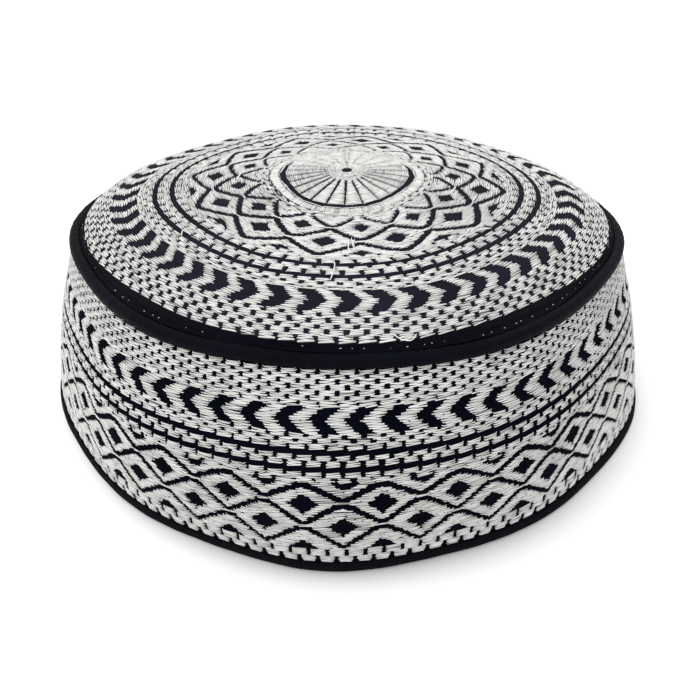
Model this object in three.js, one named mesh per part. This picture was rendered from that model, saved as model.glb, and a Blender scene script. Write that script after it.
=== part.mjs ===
// A kufi: an oval, brimless cap of black cotton with a low domed crown, an
// upright side band that narrows towards the top, a round piping with a flat
// flange on the crown seam and a folded binding round the hem.
//
// Millimetres, +Z up. The origin is the centre of the hem's underside, so the
// cap stands on z = 0. -Y is the near crease of the oval, +X is to its right.
import * as THREE from "three";

// ---------------------------------------------------------------- sizes, mm
const SECTORS = 72; // steps round the oval
const BAND_TOP = 60.3; // height of the side band's upper edge
const BAND_FOOT = 1.5; // the band's lower edge, inside the folded binding
const BAND_CLOTH = 1.9; // quilted double cloth of the band
const LIP = 8.2; // seam allowance turned in under the crown
const LIP_CLOTH = 1.2;
const LIP_RISE = 1.1; // how much the allowance climbs inwards
const CROWN_TOP = 79.8; // height of the crown's centre
const CROWN_CLOTH = 1.6;
const PIPE_R = 1.9; // radius of the piping's roll
const PIPE_IN = 1.2; // the roll's centre, inside the band's face
const FLANGE_OVER = 0.6; // how far the flange covers the embroidery's edge
const FLANGE_CLOTH = 0.6;
const TAPE = 0.9; // folded binding, one thickness
const TAPE_FOOT = 1.2; // the fold under the band's lower edge
const TAPE_OUT = 5.9; // height of the binding outside
const TAPE_IN = 5.4; // height of the binding inside
const GAP = 0.3; // between pieces that touch

// Plan outlines. halfWidth is along X and halfDepth along Y; four and six are
// small four-sided and six-sided waves of the outline, and crease is the bump
// at the two ends, where the cap is folded flat when it is put away.
const OUTLINES = {
  hem: { halfWidth: 101.0, halfDepth: 80.64, four: -0.0169, six: 0.0236, crease: 0.1511 },
  rim: { halfWidth: 86.05, halfDepth: 80.3, four: 0.0, six: 0.0141, crease: 0.0339 },
  crown: { halfWidth: 79.98, halfDepth: 77.42, four: 0.0272, six: 0.0, crease: -0.0285 },
};
const CREASE_WIDE = 0.36; // radians
const BULGE_SIDE = 0.0225; // how far the wall swells at mid height, as a share
const BULGE_END = 0.1225; // the same at the two creased ends

// Crown section: distance from the centre as a share of the embroidered
// radius, and how far the cloth has dropped below the centre.
const DOME = [
  { share: 0.0, drop: 0.0 },
  { share: 0.1, drop: 0.71 },
  { share: 0.25, drop: 2.34 },
  { share: 0.4, drop: 3.8 },
  { share: 0.55, drop: 4.81 },
  { share: 0.7, drop: 5.72 },
  { share: 0.8, drop: 6.8 },
  { share: 0.9, drop: 8.75 },
  { share: 1.0, drop: 13.6 },
];
const SEAM_Z = 64.6; // height of the crown's edge, where the piping is sewn on
const CROWN_SHARES = [0.12, 0.26, 0.42, 0.6, 0.76, 0.86, 0.93, 0.975];

// ------------------------------------------------------------- shape of it
function outlineRadius(o, t) {
  const c = Math.cos(t) / o.halfWidth;
  const s = Math.sin(t) / o.halfDepth;
  const end = (at) => {
    const d = Math.abs(((t - at + Math.PI * 5) % (Math.PI * 2)) - Math.PI);
    return Math.exp(-((d / CREASE_WIDE) ** 2));
  };
  const wave = o.four * Math.cos(4 * t) + o.six * Math.cos(6 * t);
  const crease = o.crease * (end(-Math.PI / 2) + end(Math.PI / 2));
  return (1 + wave + crease) / Math.hypot(c, s);
}

// The band's outer face at a height.
function wallRadius(t, z) {
  const s = Math.min(Math.max(z / BAND_TOP, 0), 1);
  const bulge = BULGE_SIDE * Math.cos(t) ** 2 + BULGE_END * Math.sin(t) ** 2;
  const straight = (1 - s) * outlineRadius(OUTLINES.hem, t) + s * outlineRadius(OUTLINES.rim, t);
  return straight * (1 + bulge * 4 * s * (1 - s));
}

// A smooth curve through the crown's table: cubic pieces with middle slopes.
function domeDrop(share) {
  const n = DOME.length;
  const slope = (i) => {
    if (i === 0) return 0;
    const a = DOME[Math.max(i - 1, 0)];
    const b = DOME[Math.min(i + 1, n - 1)];
    return (b.drop - a.drop) / (b.share - a.share);
  };
  let i = 0;
  while (i < n - 2 && share > DOME[i + 1].share) i += 1;
  const a = DOME[i];
  const b = DOME[i + 1];
  const w = b.share - a.share;
  const u = (share - a.share) / w;
  const h00 = 2 * u ** 3 - 3 * u ** 2 + 1;
  const h10 = u ** 3 - 2 * u ** 2 + u;
  const h01 = -2 * u ** 3 + 3 * u ** 2;
  const h11 = u ** 3 - u ** 2;
  return h00 * a.drop + h10 * w * slope(i) + h01 * b.drop + h11 * w * slope(i + 1);
}

// A point of the band's frame: direction t, distance out from the wall's face
// as it is at the height "at", and height z.
function onWall(t, out, z, at = z) {
  const r = wallRadius(t, at) + out;
  return [r * Math.cos(t), r * Math.sin(t), z];
}

function onCrown(t, r, z) {
  return [r * Math.cos(t), r * Math.sin(t), z];
}

// The crown ends at the piping. Inside the embroidered outline it follows the
// dome, and from there it runs straight down to the seam.
const seamRadius = (t) => wallRadius(t, BAND_TOP) - PIPE_IN - PIPE_R - GAP;
function crownZ(t, r) {
  const edge = outlineRadius(OUTLINES.crown, t);
  if (r <= edge) return CROWN_TOP - domeDrop(r / edge);
  const low = CROWN_TOP - domeDrop(1);
  return low + ((SEAM_Z - low) * (r - edge)) / (seamRadius(t) - edge);
}

// ---------------------------------------------------------------- builders
function finish(name, positions, faces, color, roughness) {
  const p = positions;
  let volume = 0;
  for (const [a, b, c] of faces) {
    const [ax, ay, az] = p[a];
    const [bx, by, bz] = p[b];
    const [cx, cy, cz] = p[c];
    volume += ax * (by * cz - bz * cy) - ay * (bx * cz - bz * cx) + az * (bx * cy - by * cx);
  }
  const wound = volume < 0 ? faces.map(([a, b, c]) => [a, c, b]) : faces;
  const geometry = new THREE.BufferGeometry();
  geometry.setAttribute("position", new THREE.Float32BufferAttribute(p.flat(), 3));
  geometry.setIndex(wound.flat());
  geometry.computeVertexNormals();
  const material = new THREE.MeshStandardMaterial({ color, roughness, metalness: 0 });
  material.name = name;
  const mesh = new THREE.Mesh(geometry, material);
  mesh.name = name;
  return mesh;
}

// A closed section carried round the oval: section(t) is a loop of points.
function ringSolid(name, section, color, roughness) {
  const positions = [];
  const faces = [];
  let n = 0;
  for (let i = 0; i < SECTORS; i += 1) {
    const loop = section((i / SECTORS) * Math.PI * 2 - Math.PI / 2);
    n = loop.length;
    positions.push(...loop);
  }
  for (let i = 0; i < SECTORS; i += 1) {
    const next = (i + 1) % SECTORS;
    for (let j = 0; j < n; j += 1) {
      const k = (j + 1) % n;
      const [a, b, c, d] = [i * n + j, i * n + k, next * n + k, next * n + j];
      faces.push([a, b, c], [a, c, d]);
    }
  }
  return finish(name, positions, faces, color, roughness);
}

// A shell that closes over the axis: rows of points from the centre of its
// upper face out to the edge and back to the centre of its lower face.
function capSolid(name, top, bottom, rows, color, roughness) {
  const positions = [top, bottom];
  const faces = [];
  for (const row of rows) {
    for (let i = 0; i < SECTORS; i += 1) positions.push(row((i / SECTORS) * Math.PI * 2 - Math.PI / 2));
  }
  const at = (r, i) => 2 + r * SECTORS + (i % SECTORS);
  for (let i = 0; i < SECTORS; i += 1) {
    faces.push([0, at(0, i), at(0, i + 1)]);
    for (let r = 0; r + 1 < rows.length; r += 1) {
      faces.push([at(r, i), at(r + 1, i), at(r + 1, i + 1)], [at(r, i), at(r + 1, i + 1), at(r, i + 1)]);
    }
    faces.push([at(rows.length - 1, i), 1, at(rows.length - 1, i + 1)]);
  }
  return finish(name, positions, faces, color, roughness);
}

// ------------------------------------------------------------------ pieces
const kufi = new THREE.Group();

// Side band: the wall, with its upper edge turned in under the crown.
kufi.add(
  ringSolid(
    "side_band",
    (t) => {
      const rise = LIP_RISE;
      return [
        onWall(t, 0, BAND_FOOT),
        onWall(t, 0, 6),
        onWall(t, 0, 12),
        onWall(t, 0, 24),
        onWall(t, 0, 37),
        onWall(t, 0, 50),
        onWall(t, 0, BAND_TOP - 0.9),
        onWall(t, -0.8, BAND_TOP, BAND_TOP),
        onWall(t, -LIP, BAND_TOP + rise, BAND_TOP),
        onWall(t, -LIP, BAND_TOP + rise - LIP_CLOTH, BAND_TOP),
        onWall(t, -BAND_CLOTH, BAND_TOP - LIP_CLOTH - 0.4, BAND_TOP),
        onWall(t, -BAND_CLOTH, 50),
        onWall(t, -BAND_CLOTH, 37),
        onWall(t, -BAND_CLOTH, 24),
        onWall(t, -BAND_CLOTH, 12),
        onWall(t, -BAND_CLOTH, 6),
        onWall(t, -BAND_CLOTH, BAND_FOOT),
      ];
    },
    0x8a8a8c,
    0.75,
  ),
);

// Hem binding: a tape folded round the band's lower edge. Its flat underside
// is what the cap stands on.
kufi.add(
  ringSolid(
    "hem_binding",
    (t) => {
      const inner = -BAND_CLOTH - GAP;
      return [
        onWall(t, GAP + TAPE - 0.35, 0, 0),
        onWall(t, GAP + TAPE, 0.5, 0.5),
        onWall(t, GAP + TAPE, TAPE_OUT - 0.4),
        onWall(t, GAP + TAPE - 0.4, TAPE_OUT),
        onWall(t, GAP, TAPE_OUT),
        onWall(t, GAP, TAPE_FOOT, TAPE_FOOT),
        onWall(t, inner, TAPE_FOOT, TAPE_FOOT),
        onWall(t, inner, TAPE_IN),
        onWall(t, inner - TAPE + 0.3, TAPE_IN),
        onWall(t, inner - TAPE, TAPE_IN - 0.4),
        onWall(t, inner - TAPE, 0.5, 0.5),
        onWall(t, inner - TAPE + 0.35, 0, 0),
      ];
    },
    0x141624,
    0.6,
  ),
);

// Crown: a thin domed shell whose edge is tucked against the piping.
const shareRow = (share, lower) => (t) => {
  const r = share > 1 ? seamRadius(t) : share * outlineRadius(OUTLINES.crown, t);
  return onCrown(t, r, crownZ(t, r) - lower);
};
const SEAM = 2; // a share past the outline stands for the seam
kufi.add(
  capSolid(
    "crown",
    [0, 0, CROWN_TOP],
    [0, 0, CROWN_TOP - CROWN_CLOTH],
    [
      ...CROWN_SHARES.map((s) => shareRow(s, 0)),
      shareRow(1, 0),
      shareRow(SEAM, 0),
      shareRow(SEAM, CROWN_CLOTH),
      shareRow(1, CROWN_CLOTH),
      ...[...CROWN_SHARES].reverse().map((s) => shareRow(s, CROWN_CLOTH)),
    ],
    0xc9c8c6,
    0.7,
  ),
);

// Piping: the round roll on the seam, between the band and the crown.
kufi.add(
  ringSolid(
    "crown_piping",
    (t) => {
      const loop = [];
      const sides = 10;
      for (let j = 0; j < sides; j += 1) {
        const a = ((j + 0.5) / sides) * Math.PI * 2;
        loop.push(
          onWall(
            t,
            -PIPE_IN + PIPE_R * Math.cos(a),
            BAND_TOP + GAP + PIPE_R + PIPE_R * Math.sin(a),
            BAND_TOP,
          ),
        );
      }
      return loop;
    },
    0x141624,
    0.5,
  ),
);

// Flange: the piping's flat tape, stitched down on the crown's edge.
kufi.add(
  ringSolid(
    "piping_flange",
    (t) => {
      const edge = outlineRadius(OUTLINES.crown, t);
      const at = (r, up) => onCrown(t, r, crownZ(t, r) + GAP + up);
      return [
        at(seamRadius(t), 0),
        at(seamRadius(t), FLANGE_CLOTH),
        at(edge, FLANGE_CLOTH),
        at(edge - FLANGE_OVER, FLANGE_CLOTH),
        at(edge - FLANGE_OVER, 0),
        at(edge, 0),
      ];
    },
    0x141624,
    0.6,
  ),
);

export default kufi;
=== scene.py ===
import math

import bpy
import numpy as np
from mathutils import Matrix


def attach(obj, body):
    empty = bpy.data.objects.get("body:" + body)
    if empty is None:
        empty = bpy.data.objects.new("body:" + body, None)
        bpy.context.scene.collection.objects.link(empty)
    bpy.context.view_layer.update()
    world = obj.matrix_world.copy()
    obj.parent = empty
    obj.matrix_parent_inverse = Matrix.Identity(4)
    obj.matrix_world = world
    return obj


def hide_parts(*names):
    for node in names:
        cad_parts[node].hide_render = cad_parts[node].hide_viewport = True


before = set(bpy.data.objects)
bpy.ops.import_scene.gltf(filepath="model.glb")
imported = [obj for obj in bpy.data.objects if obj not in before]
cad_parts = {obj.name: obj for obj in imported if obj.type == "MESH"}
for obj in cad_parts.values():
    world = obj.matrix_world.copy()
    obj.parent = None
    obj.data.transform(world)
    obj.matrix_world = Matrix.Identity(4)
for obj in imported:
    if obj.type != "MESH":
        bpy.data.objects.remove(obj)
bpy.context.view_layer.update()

PI = math.pi
MM = 0.001
rng = np.random.default_rng(7)

# ------------------------------------------------------------ sizes, mm
BAND_TOP = 60.3
BAND_FOOT = 1.5
BAND_CLOTH = 1.9
LIP = 8.2
LIP_CLOTH = 1.2
LIP_RISE = 1.1
CROWN_TOP = 79.8
CROWN_CLOTH = 1.6
PIPE_R = 1.9
PIPE_IN = 1.2
GAP = 0.3
TAPE = 0.9
TAPE_OUT = 5.9
TAPE_IN = 5.4
SEAM_Z = 63.9
CREASE_WIDE = 0.36
BULGE_SIDE = 0.0225
BULGE_END = 0.1225
HEM = dict(hw=101.0, hd=80.64, four=-0.0169, six=0.0236, crease=0.1511)
RIM = dict(hw=86.05, hd=80.3, four=0.0, six=0.0141, crease=0.0339)
CROWN = dict(hw=79.98, hd=77.42, four=0.0272, six=0.0, crease=-0.0285)
DOME_SHARE = np.array([0.0, 0.1, 0.25, 0.4, 0.55, 0.7, 0.8, 0.9, 1.0])
DOME_DROP = np.array([0.0, 0.71, 2.34, 3.8, 4.81, 5.72, 6.8, 8.75, 13.6])
CROWN_EDGE = 81.0  # the charted radius of the crown's embroidery
LOFT = 0.22  # how far the thread stands off its cloth


# ------------------------------------------------------------ shape
def outline(o, t):
    def end(at):
        d = np.abs(((t - at + PI * 5) % (PI * 2)) - PI)
        return np.exp(-((d / CREASE_WIDE) ** 2))

    wave = o["four"] * np.cos(4 * t) + o["six"] * np.cos(6 * t)
    crease = o["crease"] * (end(-PI / 2) + end(PI / 2))
    return (1 + wave + crease) / np.hypot(np.cos(t) / o["hw"], np.sin(t) / o["hd"])


def wall(t, z):
    s = np.clip(z / BAND_TOP, 0, 1)
    bulge = BULGE_SIDE * np.cos(t) ** 2 + BULGE_END * np.sin(t) ** 2
    return ((1 - s) * outline(HEM, t) + s * outline(RIM, t)) * (1 + bulge * 4 * s * (1 - s))


def dome_slopes():
    m = np.zeros(len(DOME_SHARE))
    for i in range(1, len(m)):
        a, b = max(i - 1, 0), min(i + 1, len(m) - 1)
        m[i] = (DOME_DROP[b] - DOME_DROP[a]) / (DOME_SHARE[b] - DOME_SHARE[a])
    return m


DOME_SLOPE = dome_slopes()


def dome_drop(share):
    share = np.asarray(share, float)
    i = np.clip(np.searchsorted(DOME_SHARE, share, side="left") - 1, 0, len(DOME_SHARE) - 2)
    w = DOME_SHARE[i + 1] - DOME_SHARE[i]
    u = (share - DOME_SHARE[i]) / w
    h00 = 2 * u**3 - 3 * u**2 + 1
    h10 = u**3 - 2 * u**2 + u
    h01 = -2 * u**3 + 3 * u**2
    h11 = u**3 - u**2
    return h00 * DOME_DROP[i] + h10 * w * DOME_SLOPE[i] + h01 * DOME_DROP[i + 1] + h11 * w * DOME_SLOPE[i + 1]


def seam_radius(t):
    return wall(t, BAND_TOP) - PIPE_IN - PIPE_R - GAP


def rearward(t):
    """0 round the near half, 1 round the far half."""
    off = np.abs(((t + PI / 2 + PI) % (2 * PI)) - PI) * 180 / PI
    f = np.clip((off - 78) / 24, 0, 1)
    return f * f * (3 - 2 * f)


def crown_z(t, r):
    edge = outline(CROWN, t)
    swell = 1.0 * rearward(t) * np.exp(-(((r / edge - 0.97) / 0.06) ** 2))
    inside = CROWN_TOP - dome_drop(np.minimum(r / edge, 1.0))
    low = CROWN_TOP - DOME_DROP[-1]
    beyond = low + (SEAM_Z - low) * (r - edge) / (seam_radius(t) - edge)
    return np.where(r <= edge, inside, beyond) + swell


# The band is laid out straight: u is the length round it at three tenths of
# its height, 0 at the near crease, and z the height.
T_GRID = np.linspace(-PI / 2 - PI, -PI / 2 + PI, 1441)
Z_GRID = np.linspace(0, 64, 65)


def arc_table():
    rows = []
    for z in Z_GRID:
        r = wall(T_GRID, z)
        x, y = r * np.cos(T_GRID), r * np.sin(T_GRID)
        s = np.concatenate([[0], np.cumsum(np.hypot(np.diff(x), np.diff(y)))])
        rows.append(s / s[-1])
    return np.array(rows)


ARC = arc_table()
AROUND = 599.8
U_GRID = np.linspace(-AROUND / 2, AROUND / 2, 2049)
T_OF_U = np.array([np.interp(U_GRID / AROUND + 0.5, a, T_GRID) for a in ARC])


def band_t(u, z):
    fu = np.clip((u + AROUND / 2) / AROUND * (len(U_GRID) - 1), 0, len(U_GRID) - 1.001)
    fz = np.clip(z, 0, 63.999)
    i, j = fu.astype(int), fz.astype(int)
    a, b = fu - i, fz - j
    return (
        T_OF_U[j, i] * (1 - a) * (1 - b) + T_OF_U[j, i + 1] * a * (1 - b)
        + T_OF_U[j + 1, i] * (1 - a) * b + T_OF_U[j + 1, i + 1] * a * b
    )


def soft(x, y, seed=0, scale=1.0):
    """A smooth wandering value from a few sines, between about -1 and 1."""
    g = np.random.default_rng(900 + seed)
    out = 0
    for _ in range(5):
        fx, fy, ph = g.uniform(-1, 1) / scale, g.uniform(-1, 1) / scale, g.uniform(0, 2 * PI)
        out = out + np.sin(x * fx + y * fy + ph)
    return out / 2.6


def round_soft(t, seed, kmin=3, kmax=30, n=7):
    """The same for an angle: it closes on itself."""
    g = np.random.default_rng(500 + seed)
    out = 0
    for _ in range(n):
        out = out + np.sin(t * g.integers(kmin, kmax) + g.uniform(0, 2 * PI))
    return out / math.sqrt(n)


# The worked pattern doesn't lie dead true on the cloth. These tables say how
# far it has slipped and at what height its rows stand.
SLIP_U = [-296.0, -180.0, -100.0, -75.0, -50.0, -25.0, 0.0, 25.0, 50.0, 75.0, 100.0, 180.0, 296.0]
SLIP_ROWS = [
    # charted height, height on the cloth, then the slip along the band at each SLIP_U
    (0.0, 0.0, [-3.6, -2.0, -0.4, 0.0, -0.2, 0.0, 0.1, 0.1, 0.4, 0.4, 1.0, 2.3, 3.6]),
    (5.9, 5.75, [-3.6, -2.0, -0.4, 0.0, -0.2, 0.0, 0.1, 0.1, 0.4, 0.4, 1.0, 2.3, 3.6]),
    (9.4, 10.1, [-3.6, -2.0, -0.4, 0.2, 0.0, 0.1, 0.15, 0.1, 0.3, 0.3, 1.0, 2.3, 3.6]),
    (12.3, 13.75, [-3.6, -1.6, 0.0, 0.6, 0.3, 0.2, 0.15, 0.1, 0.1, 0.0, 0.7, 2.1, 3.6]),
    (15.6, 17.35, [-3.6, -1.2, 0.4, 1.1, 0.5, 0.35, 0.2, 0.0, -0.1, -0.3, 0.4, 2.0, 3.6]),
    (21.3, 23.35, [-3.6, -1.0, 0.8, 1.4, 0.8, 0.45, 0.2, -0.05, -0.3, -0.5, 0.1, 1.9, 3.6]),
    (29.1, 30.8, [-3.6, -1.4, 0.4, 1.05, 0.75, 0.4, 0.2, -0.05, -0.3, -0.35, 0.3, 2.0, 3.6]),
    (37.85, 38.85, [-3.6, -2.2, -0.8, 0.1, 0.35, 0.15, 0.1, 0.1, 0.0, 0.3, 1.1, 2.4, 3.6]),
    (43.9, 44.25, [-3.6, -3.0, -2.3, -0.9, -0.1, -0.1, 0.0, 0.2, 0.3, 0.9, 2.0, 2.9, 3.6]),
    (51.1, 50.65, [-3.6, -4.0, -4.2, -2.2, -0.8, -0.5, -0.05, 0.4, 0.75, 1.9, 3.2, 3.6, 3.6]),
    (57.9, 56.7, [-3.6, -4.9, -6.2, -3.7, -1.7, -1.0, -0.2, 0.65, 1.3, 2.9, 4.5, 4.2, 3.6]),
    (62.8, 60.9, [-3.6, -5.6, -7.6, -4.8, -2.4, -1.4, -0.3, 0.8, 1.7, 3.6, 5.6, 4.8, 3.6]),
]


def slip_table():
    """The same numbers on a fine even grid, rounded off."""
    fine_u = np.linspace(-300, 300, 241)
    rows = np.array([np.interp(fine_u, SLIP_U, r[2]) for r in SLIP_ROWS])
    fine_z = np.linspace(0, 63, 64)
    table = np.stack([np.interp(fine_z, [r[0] for r in SLIP_ROWS], c) for c in rows.T], 1)
    for _ in range(12):
        side = np.pad(table, ((0, 0), (1, 1)), mode="edge")
        table = 0.25 * side[:, :-2] + 0.5 * side[:, 1:-1] + 0.25 * side[:, 2:]
        side = np.pad(table, ((1, 1), (0, 0)), mode="edge")
        table = 0.15 * side[:-2] + 0.7 * side[1:-1] + 0.15 * side[2:]
    return table


SLIP = slip_table()
CHART_AROUND = 592.5


def hem_rise(u):
    """The hem's tape is a little wider over the near crease."""
    return 1.15 * np.exp(-((u / 85.0) ** 2))


def chart_to_cloth(u, z):
    u, z = np.broadcast_arrays(np.asarray(u, float), np.asarray(z, float))
    fu = np.clip((u + 300) / 2.5, 0, 239.999)
    fz = np.clip(z, 0, 62.999)
    i, j = fu.astype(int), fz.astype(int)
    a, b = fu - i, fz - j
    slip = (
        SLIP[j, i] * (1 - a) * (1 - b) + SLIP[j, i + 1] * a * (1 - b)
        + SLIP[j + 1, i] * (1 - a) * b + SLIP[j + 1, i + 1] * a * b
    )
    rise = hem_rise(u) * np.clip((13.5 - z) / 7.5, 0, 1)
    return u + slip, np.interp(z, [r[0] for r in SLIP_ROWS], [r[1] for r in SLIP_ROWS]) + rise


def on_band(u, z, h):
    u, z = chart_to_cloth(u, z)
    t = band_t(u, z)
    r = wall(t, z) + h + 0.12 * soft(u, z, 3, 9.0)
    return np.stack([r * np.cos(t), r * np.sin(t), z + 0 * r], -1)


CROWN_SLIP_AT = [-180, -150, -120, -100, -80, -60, -40, -20, 0, 20, 40, 60, 80, 100, 120, 150, 180]
CROWN_SLIP_OUT = [
    # charted radius, then how far outwards the work has slipped at each angle
    (0.0, [0.0] * 17),
    (21.45, [2.3, 2.4, 0.9, -1.3, -2.9, -2.2, -0.1, 1.4, 2.0, 1.8, 0.5, -1.2, -1.7, -0.5, 1.6, 2.9, 2.3]),
    (35.0, [1.5, 1.5, 0.8, -0.4, -1.3, -1.2, -0.3, 0.7, 1.1, 1.3, 0.6, -0.4, -1.0, 0.2, 1.5, 1.5, 1.5]),
    (42.2, [0.5, 0.6, 0.8, 0.0, -1.0, -1.0, -0.2, 1.0, 1.6, 1.7, 1.2, 0.0, -0.5, 0.5, 1.5, 0.8, 0.5]),
    (49.4, [-0.5, 0.0, 0.8, 0.3, -0.9, -1.2, -0.1, 0.8, 1.4, 1.6, 1.3, 0.6, -0.5, 0.5, 1.4, 0.5, -0.5]),
    (54.55, [-1.2, -0.5, 0.6, 0.1, -0.8, -1.0, -0.2, 0.9, 1.5, 1.5, 0.8, -0.1, -0.1, 0.6, 1.2, 0.4, -1.2]),
    (59.4, [2.0, 1.1, 0.7, 0.3, -0.3, -0.2, 0.6, 1.6, 1.95, 1.7, 1.0, 0.3, 0.1, 0.4, 1.2, 2.3, 2.0]),
    (65.2, [-0.4, -0.3, -0.7, -1.0, -0.8, 0.1, 0.9, 1.4, 1.8, 2.3, 2.2, 1.3, 0.2, -0.1, 0.2, 0.2, -0.4]),
    (72.7, [0.7, 0.7, 0.8, 0.6, 0.5, 0.6, 0.9, 1.5, 1.85, 2.0, 2.0, 1.6, 1.2, 0.9, 1.0, 1.0, 0.7]),
    (81.0, [0.8, 1.0, 1.4, 1.4, 0.9, 0.5, 0.4, 0.35, 0.35, 0.35, 0.4, 0.5, 0.9, 1.4, 1.4, 1.0, 0.8]),
]
CROWN_SLIP_ROUND = [
    # the same for how far it has turned, in degrees
    (0.0, [0.0] * 17),
    (21.45, [0.0] * 17),
    (35.0, [-0.3, -0.3, 0.0, -1.0, -2.2, -1.3, 1.7, 2.2, 1.8, 0.2, -0.9, -1.6, -0.9, 0.0, 0.0, -0.3, -0.3]),
    (42.2, [-0.3, -0.3, 0.0, -0.3, -0.2, 0.3, 0.8, 1.2, -0.2, -1.9, -2.6, -0.5, 0.8, 0.8, 0.2, -0.3, -0.3]),
    (49.4, [-0.3, -0.3, -0.5, -1.8, -1.5, -1.0, 2.0, 1.0, -1.9, -2.4, -1.7, -0.2, 1.8, 1.2, 0.0, -0.3, -0.3]),
    (54.55, [-0.3, -0.2, 0.1, 0.4, 0.4, -0.1, -0.3, -0.1, 0.4, 0.8, 0.95, 0.8, 0.3, -0.1, -0.3, -0.5, -0.3]),
    (76.0, [-0.3, -0.2, 0.1, 0.4, 0.4, -0.1, -0.3, -0.1, 0.4, 0.8, 0.95, 0.8, 0.3, -0.1, -0.3, -0.5, -0.3]),
    (81.0, [0.0] * 17),
]


def round_off(values):
    fine = np.interp(np.arange(-180, 180, 1.0), CROWN_SLIP_AT, values)
    for _ in range(40):
        fine = 0.25 * np.roll(fine, 1) + 0.5 * fine + 0.25 * np.roll(fine, -1)
    return np.concatenate([fine, fine[:1]])


def ring_table(slips):
    rows = np.array([round_off(v) for _, v in slips])
    at = [r for r, _ in slips]
    table = np.stack([np.interp(np.arange(0, 83.0), at, c) for c in rows.T], 1)
    for _ in range(5):
        table[1:-2] = 0.25 * table[:-3] + 0.5 * table[1:-2] + 0.25 * table[2:-1]
    return table


SLIP_OUT, SLIP_ROUND = ring_table(CROWN_SLIP_OUT), ring_table(CROWN_SLIP_ROUND)


def on_crown(th, r, h):
    """th in degrees from the near crease, r the charted radius."""
    th, r = np.broadcast_arrays(np.asarray(th, float), np.asarray(r, float))
    turned = np.clip((th + 180) % 360, 0, 359.999)
    flat_r = np.clip(r, 0, 81.999)
    i, j = flat_r.astype(int), turned.astype(int)
    a, b = flat_r - i, turned - j

    def look(table):
        return (
            table[i, j] * (1 - a) * (1 - b) + table[i + 1, j] * a * (1 - b)
            + table[i, j + 1] * (1 - a) * b + table[i + 1, j + 1] * a * b
        )

    th, out = th + look(SLIP_ROUND), look(SLIP_OUT)
    r = r + out
    off_centre = np.exp(-((r / 17) ** 2))
    x, y = r * np.sin(np.radians(th)) + 0.6 * off_centre, -r * np.cos(np.radians(th)) - 0.5 * off_centre
    r = np.hypot(x, y)
    t = np.arctan2(y, x)
    edge = outline(CROWN, t)
    share = r / CROWN_EDGE
    d = share * edge
    slope = np.interp(share, [0, 0.8, 0.9, 1.0], [0.0, 0.1, 0.35, 0.55])
    z = crown_z(t, d) + h * np.cos(slope) + 0.10 * soft(d * np.cos(t), d * np.sin(t), 5, 8.0)
    d = d + h * np.sin(slope)
    return np.stack([d * np.cos(t), d * np.sin(t), z], -1)


# ------------------------------------------------------------ mesh helpers
def make_mesh(name, verts_mm, quads, tris=None, uv=None, tone=None, smooth=True):
    """verts (n,3) in mm, quads (m,4), tris (k,3); uv per corner; tone per vertex."""
    mesh = bpy.data.meshes.new(name)
    quads = np.asarray(quads, np.int32).reshape(-1, 4)
    tris = np.zeros((0, 3), np.int32) if tris is None else np.asarray(tris, np.int32).reshape(-1, 3)
    loops = np.concatenate([quads.ravel(), tris.ravel()])
    starts = np.concatenate([np.arange(len(quads)) * 4, len(quads) * 4 + np.arange(len(tris)) * 3])
    mesh.vertices.add(len(verts_mm))
    mesh.vertices.foreach_set("co", (np.asarray(verts_mm, np.float32) * MM).ravel())
    mesh.loops.add(len(loops))
    mesh.loops.foreach_set("vertex_index", loops)
    mesh.polygons.add(len(starts))
    mesh.polygons.foreach_set("loop_start", starts.astype(np.int32))
    if uv is not None:
        layer = mesh.uv_layers.new(name="UVMap")
        layer.data.foreach_set("uv", np.asarray(uv, np.float32).ravel())
    if tone is not None:
        a = mesh.attributes.new("tone", "FLOAT_COLOR", "POINT")
        c = np.ones((len(verts_mm), 4), np.float32)
        c[:, :3] = np.asarray(tone, np.float32)[:, None]
        a.data.foreach_set("color", c.ravel())
    mesh.update(calc_edges=True)
    mesh.validate()
    mesh.polygons.foreach_set("use_smooth", np.full(len(mesh.polygons), smooth))
    obj = bpy.data.objects.new(name, mesh)
    bpy.context.scene.collection.objects.link(obj)
    return obj


def ring_mesh(name, loops_xyz, uv_u, uv_v, flip=False):
    """loops (n round, m section, 3), closed both ways; uv in mm."""
    n, m, _ = loops_xyz.shape
    v = loops_xyz.reshape(-1, 3)
    i, j = np.meshgrid(np.arange(n), np.arange(m), indexing="ij")
    a = i * m + j
    b = i * m + (j + 1) % m
    c = ((i + 1) % n) * m + (j + 1) % m
    d = ((i + 1) % n) * m + j
    q = np.stack([a, b, c, d], -1).reshape(-1, 4)
    U0, V0 = uv_u[i], uv_v[j]
    U1, V1 = uv_u[i + 1], uv_v[j + 1]
    uv = np.stack([np.stack([U0, V0], -1), np.stack([U0, V1], -1), np.stack([U1, V1], -1), np.stack([U1, V0], -1)], -2)
    uv = uv.reshape(-1, 4, 2)
    if flip:
        q, uv = q[:, ::-1], uv[:, ::-1]
    return make_mesh(name, v, q, uv=uv.reshape(-1, 2))


SEC_S = np.array([0.0, 0.15, 0.85, 1.0])


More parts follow.
